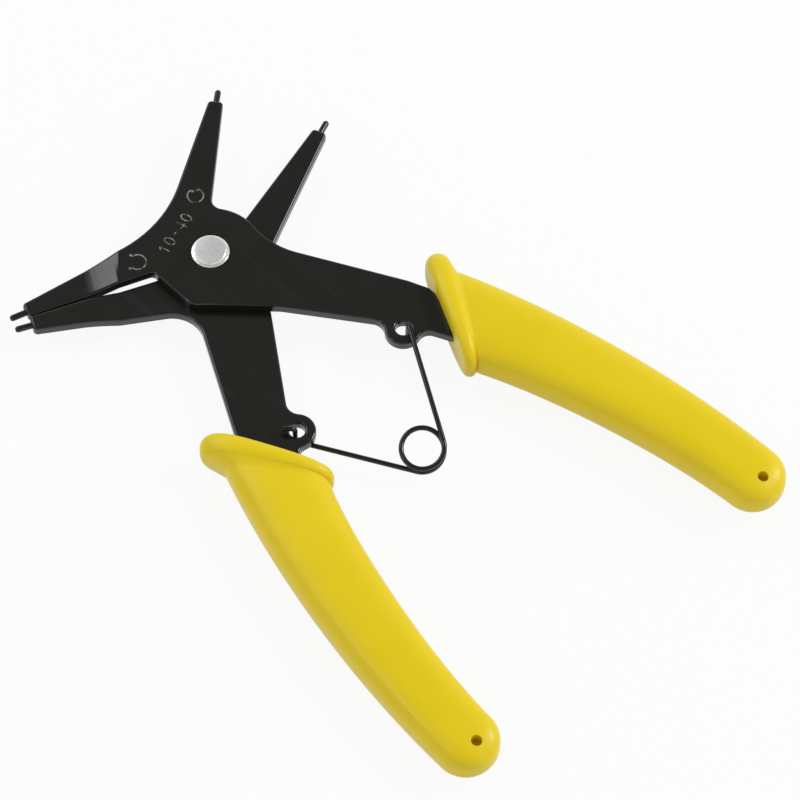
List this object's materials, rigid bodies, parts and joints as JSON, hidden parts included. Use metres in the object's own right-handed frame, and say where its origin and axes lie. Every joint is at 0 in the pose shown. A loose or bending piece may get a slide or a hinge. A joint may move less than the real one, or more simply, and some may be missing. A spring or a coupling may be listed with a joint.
{
  "type": "multifunction pliers",
  "caption": "Combination retaining-ring pliers: two stamped levers on a rivet, with internal and external pin jaws, moulded grips and a wire return spring.",
  "frame": {"origin": "centre of the rivet's flat rear face, on the pivot axis", "axes": "+X from the rivet along the middle line between the handles, towards the grips' ends; +Z along the pivot axis, towards the front lever"},
  "size_m": [0.1557, 0.0986, 0.0136],
  "materials": {
    "black_steel": "semi-gloss black finish on stamped steel",
    "rivet_steel": "bright plated steel",
    "yellow_grip": "satin soft plastic",
    "spring_wire": "glossy black spring wire"
  },
  "bodies": {
    "front_half": {"front_lever": "black_steel", "pivot_rivet": "rivet_steel", "front_grip": "yellow_grip"},
    "rear_half": {"rear_lever": "black_steel", "rear_grip": "yellow_grip"},
    "spring_front": {"spring_front_arm": "spring_wire"},
    "spring_rear": {"spring_rear_arm": "spring_wire"}
  },
  "joints": [
    {"name": "handle_pivot", "type": "hinge", "parent": "front_half", "child": "rear_half", "pos_m": [0, 0, 0.004], "axis": [0, 0, 1], "range_deg": [0, 22], "stiffness_Nm_per_rad": 1, "springref_deg": -28.65},
    {"name": "front_eye_pivot", "type": "hinge", "parent": "front_half", "child": "spring_front", "pos_m": [0.0429, 0.01692, 0.004], "axis": [0, 0, 1], "range_deg": [0, 30.5]},
    {"name": "coil_flex", "type": "hinge", "parent": "spring_front", "child": "spring_rear", "pos_m": [0.06518, -0.00101, 0.00398], "axis": [0, 0, 1], "range_deg": [-41.3, 0]}
  ],
  "couplings": [
    {"joint": "front_eye_pivot", "follows": "handle_pivot", "ratio": 1.3614},
    {"joint": "coil_flex", "follows": "handle_pivot", "ratio": -1.8525}
  ]
}
